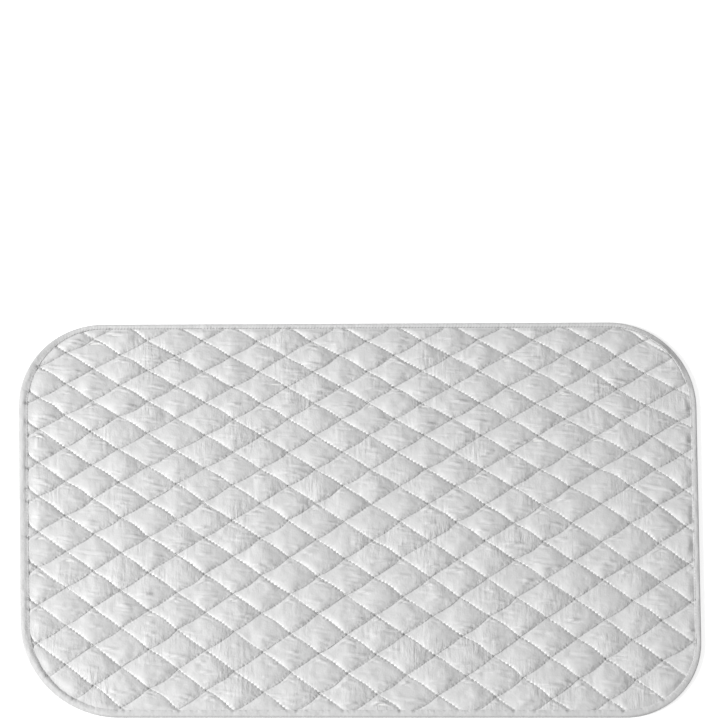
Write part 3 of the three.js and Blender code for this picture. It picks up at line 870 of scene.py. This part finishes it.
def binding_stitches(material):
    run, x, y, out_x, out_y = edge_stations()
    line_x, line_y = inset_place(x, y, out_x, out_y, stitch_inset(out_x, out_y))
    pitch = stitch_pitch()
    at = (np.arange(int(run[-1] / pitch)) + 0.5) * pitch
    ahead = at + pitch * AHEAD_SHARE
    middle = np.stack([np.interp(at, run, line_x), np.interp(at, run, line_y)], 1)
    turn = np.stack([np.interp(ahead, run, line_x), np.interp(ahead, run, line_y)], 1) - middle
    places = np.concatenate([middle, turn / np.linalg.norm(turn, axis=1, keepdims=True)], 1)
    shares = by_side(STITCH_LINE_SHARES, out_x, out_y)
    tops = [np.interp(share, STRIP_TOP_SHARES, top) for share, top in zip(shares, strip_tops(out_x, out_y))]
    height = np.array(tops) - STITCH_SINK * (1 - by_side(STITCH_SHOW_SHARES, out_x, out_y))
    height = np.interp(at, run, height)[:, None]
    name, length = "binding_stitches", BINDING_STITCH_LENGTH
    upper = stitch_mesh(name, places, height, length, 1, material)
    lower = stitch_mesh(name + "_beneath", places, BENEATH_STITCH_HEIGHT, length, -1, material)
    return [upper, lower]


# Materials

class Finish:
    """A material with the pad's own place as its texture place."""

    def __init__(self, name, roughness, sheen=0.0, ior=1.5):
        self.material = bpy.data.materials.new(name)
        self.material.use_nodes = True
        self.nodes = self.material.node_tree.nodes
        self.links = self.material.node_tree.links
        self.surface = self.nodes["Principled BSDF"]
        self.surface.inputs["Roughness"].default_value = roughness
        self.surface.inputs["Sheen Weight"].default_value = sheen
        self.surface.inputs["IOR"].default_value = ior
        self.place = self.nodes.new("ShaderNodeTexCoord").outputs["Object"]

    def noise(self, scale, detail, stretch=(1, 1, 1)):
        mapping = self.nodes.new("ShaderNodeMapping")
        mapping.inputs["Scale"].default_value = stretch
        texture = self.nodes.new("ShaderNodeTexNoise")
        texture.inputs["Scale"].default_value = scale
        texture.inputs["Detail"].default_value = detail
        self.links.new(self.place, mapping.inputs["Vector"])
        self.links.new(mapping.outputs["Vector"], texture.inputs["Vector"])
        return texture.outputs["Fac"]

    def attribute(self, name):
        node = self.nodes.new("ShaderNodeAttribute")
        node.attribute_name = name
        return node.outputs["Fac"]

    def fade(self, distance, reach):
        """1 where the distance is 0, falling away within a few times the reach."""
        return self.calculate("EXPONENT", self.product(distance, -1 / reach))

    def wave(self, phase):
        """1 where the phase is a whole number and 0 half way between."""
        cosine = self.calculate("COSINE", self.product(phase, 2 * math.pi))
        return self.calculate("MULTIPLY_ADD", cosine, 0.5, 0.5)

    def stitching(self, distance_name, phase_name, share):
        """Needle holes, which the finishes darken with painted shade, and the cloth drawn down between
        beads, along a row of stitches.
        """
        distance = self.attribute(distance_name)
        at_hole = self.wave(self.attribute(phase_name))
        narrow = self.calculate("POWER", at_hole, HOLE_POWER)
        hole = self.product(narrow, self.fade(distance, HOLE_REACH), share)
        bead = self.product(at_hole, self.fade(distance, BEAD_REACH), -1.0, share)
        return hole, bead

    def threads(self, pitch, direction):
        """Ridges as wide as one thread of the weave."""
        texture = self.nodes.new("ShaderNodeTexWave")
        texture.bands_direction = direction
        texture.inputs["Scale"].default_value = 2 * math.pi / (WAVE_TEXTURE_TURN * pitch)
        texture.inputs["Distortion"].default_value = WEAVE_UNEVENNESS
        self.links.new(self.place, texture.inputs["Vector"])
        return texture.outputs["Fac"]

    def calculate(self, operation, *values):
        node = self.nodes.new("ShaderNodeMath")
        node.operation = operation
        for socket, value in zip(node.inputs, values):
            if isinstance(value, (int, float)):
                socket.default_value = value
            else:
                self.links.new(value, socket)
        return node.outputs[0]

    def product(self, *values):
        """All the values multiplied."""
        total = values[0]
        for value in values[1:]:
            total = self.calculate("MULTIPLY", total, value)
        return total

    def weave(self, operation, pitch):
        """Threads both ways."""
        return self.calculate(operation, self.threads(pitch, "X"), self.threads(pitch, "Y"))

    def feed(self, name, value):
        self.links.new(value, self.surface.inputs[name])

    def spread(self, value, low, high, from_low=0.0, from_high=1.0):
        """Turns the value's range from_low to from_high into the range low to high."""
        node = self.nodes.new("ShaderNodeMapRange")
        node.inputs["From Min"].default_value = from_low
        node.inputs["From Max"].default_value = from_high
        node.inputs["To Min"].default_value = low
        node.inputs["To Max"].default_value = high
        self.links.new(value, node.inputs["Value"])
        return node.outputs["Result"]

    def colour(self, colour, tone):
        """The base colour, with its brightness turned up and down by tone."""
        mix = self.nodes.new("ShaderNodeMix")
        mix.data_type = "RGBA"
        mix.blend_type = "MULTIPLY"
        mix.inputs["Factor"].default_value = 1.0
        mix.inputs[FIRST_COLOUR].default_value = (*colour, 1)
        self.links.new(tone, mix.inputs[SECOND_COLOUR])
        self.feed("Base Color", mix.outputs[MIXED_COLOUR])

    def bump(self, layers):
        """Fine relief, from layers of (height, depth in metres)."""
        normal = None
        for value, depth in layers:
            node = self.nodes.new("ShaderNodeBump")
            node.inputs["Distance"].default_value = depth
            self.links.new(value, node.inputs["Height"])
            if normal is not None:
                self.links.new(normal, node.inputs["Normal"])
            normal = node.outputs["Normal"]
        self.feed("Normal", normal)


def silver_face_finish():
    finish = Finish("silver_face_cloth", roughness=SILVER_ROUGHNESS, ior=SILVER_IOR)
    open_share = finish.attribute("open_share")
    pucker_share = finish.attribute("pucker_share")
    falling_holes, falling_beads = finish.stitching("off_falling", "stitch_falling", open_share)
    rising_holes, rising_beads = finish.stitching("off_rising", "stitch_rising", open_share)
    holes = finish.calculate("ADD", falling_holes, finish.product(rising_holes, RISING_HOLE_SHARE))
    lumps = finish.noise(scale=75, detail=2)
    uneven = finish.spread(lumps, low=0.1, high=1.9, from_low=0.38, from_high=0.62)
    beads = finish.calculate("ADD", falling_beads, finish.product(rising_beads, RISING_BEAD_SHARE))
    beads = finish.product(beads, uneven)
    rims = finish.product(finish.fade(finish.attribute("off_falling"), RIM_REACH), -1.0, open_share)
    blotches = finish.spread(finish.noise(scale=28, detail=6), low=0.95, high=1.05)
    # Painted shade in the puckers beside the rising seams, broken into patches
    shade_breakup = finish.noise(scale=170, detail=2)
    shade_breakup = finish.spread(shade_breakup, low=0.4, high=1.0, from_low=0.4, from_high=0.6)
    shaded_puckers = finish.product(pucker_share, shade_breakup)
    crossings = finish.fade(finish.attribute("off_crossing"), CROSSING_SHADE_REACH)
    # Painted shade: the needle holes are darkened in the base colour
    hole_painted_shade = finish.spread(holes, low=1.0, high=0.68)
    # Painted shade in the pinched dents at the seam crossings
    crossing_painted_shade = finish.spread(finish.product(crossings, open_share), low=1.0, high=0.6)
    pucker_painted_shade = finish.spread(shaded_puckers, low=1.0, high=0.78)
    finish.colour(SILVER, finish.product(blotches, hole_painted_shade, crossing_painted_shade, pucker_painted_shade))
    # The coat is pulled smooth, and shines more, beside the falling seams
    smooth = finish.product(finish.fade(finish.attribute("off_falling"), SMOOTH_REACH), open_share)
    finish.feed("Metallic", finish.spread(smooth, low=0.0, high=SMOOTH_METALLIC))
    finish.feed("Roughness", finish.spread(smooth, low=SILVER_ROUGHNESS, high=SMOOTH_ROUGHNESS))
    patches = finish.noise(scale=16, detail=2)
    patches = finish.spread(patches, low=0, high=1, from_low=0.45, from_high=0.7)
    streaks = finish.product(finish.noise(scale=110, detail=2, stretch=(2.6, 0.5, 1)), patches)
    puckers = finish.product(finish.noise(scale=330, detail=2), pucker_share)
    finish.bump([
        (finish.weave("MULTIPLY", SILVER_WEAVE_PITCH), SILVER_WEAVE_DEPTH),
        (finish.noise(scale=480, detail=4), CRINKLE_DEPTH),
        (streaks, STREAK_DEPTH),
        (puckers, PUCKER_DEPTH),
        (beads, BEAD_LIFT),
        (rims, RIM_LIFT),
    ])
    return finish.material


def silver_strip_finish():
    finish = Finish("silver_binding_cloth", roughness=SILVER_ROUGHNESS, ior=SILVER_IOR)
    stitch_share = finish.attribute("stitch_share")
    holes, beads = finish.stitching("off_stitches", "stitch_run", stitch_share)
    blotches = finish.spread(finish.noise(scale=40, detail=6), low=0.94, high=1.05)
    # Painted shade: the needle holes are darkened in the base colour
    hole_painted_shade = finish.spread(holes, low=1.0, high=0.4)
    # Painted shade in the pinches where the quilting seams end
    pinch_shade_tone = finish.spread(finish.attribute("painted_pinch_shade"), low=1.0, high=0.6)
    # Painted shade along the outer fold where the strip meets the table
    edge_shade_tone = finish.spread(finish.attribute("painted_edge_shade"), low=1.0, high=0.7)
    finish.colour(SILVER, finish.product(blotches, hole_painted_shade, pinch_shade_tone, edge_shade_tone))
    finish.bump([
        (finish.weave("MULTIPLY", SILVER_WEAVE_PITCH), SILVER_WEAVE_DEPTH),
        (finish.noise(scale=420, detail=4), CRINKLE_DEPTH),
        (finish.noise(scale=170, detail=2), STRIP_CREASE_DEPTH),
        (beads, BEAD_LIFT),
    ])
    return finish.material


def backing_finish():
    finish = Finish("plain_cotton", roughness=0.9, sheen=0.1)
    lengthways = finish.noise(scale=60, detail=6, stretch=(8, 1, 1))
    crossways = finish.noise(scale=60, detail=6, stretch=(1, 8, 1))
    slubs = finish.calculate("ADD", lengthways, crossways)
    finish.colour(COTTON, finish.spread(slubs, low=0.9, high=1.05, from_low=0.6, from_high=1.4))
    cloth = finish.weave("ADD", COTTON_WEAVE_PITCH)
    finish.bump([(cloth, COTTON_WEAVE_DEPTH), (finish.noise(scale=300, detail=4), COTTON_WRINKLE_DEPTH)])
    return finish.material


def felt_finish():
    finish = Finish("needled_felt", roughness=0.95, sheen=0.2)
    finish.colour(FELT, finish.spread(finish.noise(scale=200, detail=8), low=0.9, high=1.05))
    finish.bump([(finish.noise(scale=900, detail=6), FELT_DEPTH)])
    return finish.material


def thread_finish(name, colour):
    finish = Finish(name, roughness=0.7, sheen=0.1)
    finish.colour(colour, finish.spread(finish.noise(scale=350, detail=3), low=0.85, high=1.15))
    twist = finish.nodes.new("ShaderNodeTexWave")
    twist.bands_direction = "DIAGONAL"
    twist.inputs["Scale"].default_value = TWIST_SCALE
    finish.links.new(finish.place, twist.inputs["Vector"])
    finish.bump([(twist.outputs["Fac"], TWIST_DEPTH)])
    return finish.material


# Floor, light and camera

def seen_ray(nodes, links):
    """1 for what is seen, straight or in a reflection, and 0 for the light that falls on the pad."""
    light_path = nodes.new("ShaderNodeLightPath")
    total = light_path.outputs["Is Camera Ray"]
    for name in ("Is Glossy Ray", "Is Transmission Ray"):
        either = nodes.new("ShaderNodeMath")
        either.operation = "MAXIMUM"
        links.new(total, either.inputs[0])
        links.new(light_path.outputs[name], either.inputs[1])
        total = either.outputs[0]
    return total


def make_camera():
    data = bpy.data.cameras.new("camera")
    data.lens = CAMERA_LENS
    data.sensor_width = SENSOR
    data.clip_end = 2 * CAMERA_DISTANCE
    camera = bpy.data.objects.new("camera", data)
    aim = Vector((AIM_RIGHT, AIM_BEYOND, 0))
    away = Vector((0, -math.cos(CAMERA_TILT), math.sin(CAMERA_TILT)))
    camera.location = aim + away * CAMERA_DISTANCE
    camera.rotation_euler = (-away).to_track_quat("-Z", "Y").to_euler()
    bpy.context.scene.collection.objects.link(camera)
    bpy.context.scene.camera = camera


def make_floor():
    finish = Finish("white_floor", roughness=0.9)
    finish.surface.inputs["Base Color"].default_value = FLOOR_COLOUR
    glow = finish.nodes.new("ShaderNodeEmission")
    add = finish.nodes.new("ShaderNodeAddShader")
    strength = finish.product(seen_ray(finish.nodes, finish.links), FLOOR_GLOW)
    finish.links.new(strength, glow.inputs["Strength"])
    finish.links.new(finish.surface.outputs[0], add.inputs[0])
    finish.links.new(glow.outputs[0], add.inputs[1])
    finish.links.new(add.outputs[0], finish.nodes["Material Output"].inputs["Surface"])
    corners = [(x * FLOOR_HALF, y * FLOOR_HALF, 0) for x, y in ((-1, -1), (1, -1), (1, 1), (-1, 1))]
    make_object("floor", corners, [(0, 1, 2, 3)], finish.material)


def make_light():
    data = bpy.data.lights.new("left_window", "AREA")
    data.size = LAMP_SIZE
    data.energy = LAMP_POWER
    lamp = bpy.data.objects.new("left_window", data)
    lamp.location = LAMP_PLACE
    lamp.rotation_euler = (-lamp.location).to_track_quat("-Z", "Y").to_euler()
    bpy.context.scene.collection.objects.link(lamp)
    world = bpy.data.worlds.new("studio")
    bpy.context.scene.world = world
    world.use_nodes = True
    nodes, links = world.node_tree.nodes, world.node_tree.links
    strength = nodes.new("ShaderNodeMapRange")
    strength.inputs["To Min"].default_value = WORLD_LIGHT
    strength.inputs["To Max"].default_value = WORLD_SEEN
    links.new(seen_ray(nodes, links), strength.inputs["Value"])
    links.new(strength.outputs["Result"], nodes["Background"].inputs["Strength"])
    nodes["Background"].inputs["Color"].default_value = (1, 1, 1, 1)


# Assembly

def fit(pieces, replaced):
    """Puts pieces on the pad in place of model nodes."""
    for piece in pieces:
        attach(piece, "root")
        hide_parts(*replaced)


def main():
    make_camera()
    thread = thread_finish("grey_thread", GREY_THREAD)
    face = make_face_cover(silver_face_finish())
    fit([face], ["face_cover"])
    wadding = make_wadding(felt_finish())
    fit([wadding], ["wadding"])
    backing = make_backing(backing_finish())
    fit([backing], ["backing_cover"])
    binding = make_binding(silver_strip_finish())
    fit([binding], ["edge_binding"])
    fit(binding_stitches(thread_finish("silver_thread", SILVER_THREAD)), ["binding_thread"])
    for family in ("falling", "rising"):
        nodes = [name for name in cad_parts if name.startswith(family)]
        fit(quilting_stitches(family, thread), nodes)
    make_floor()
    make_light()
    bpy.context.scene.view_settings.view_transform = "Standard"


main()
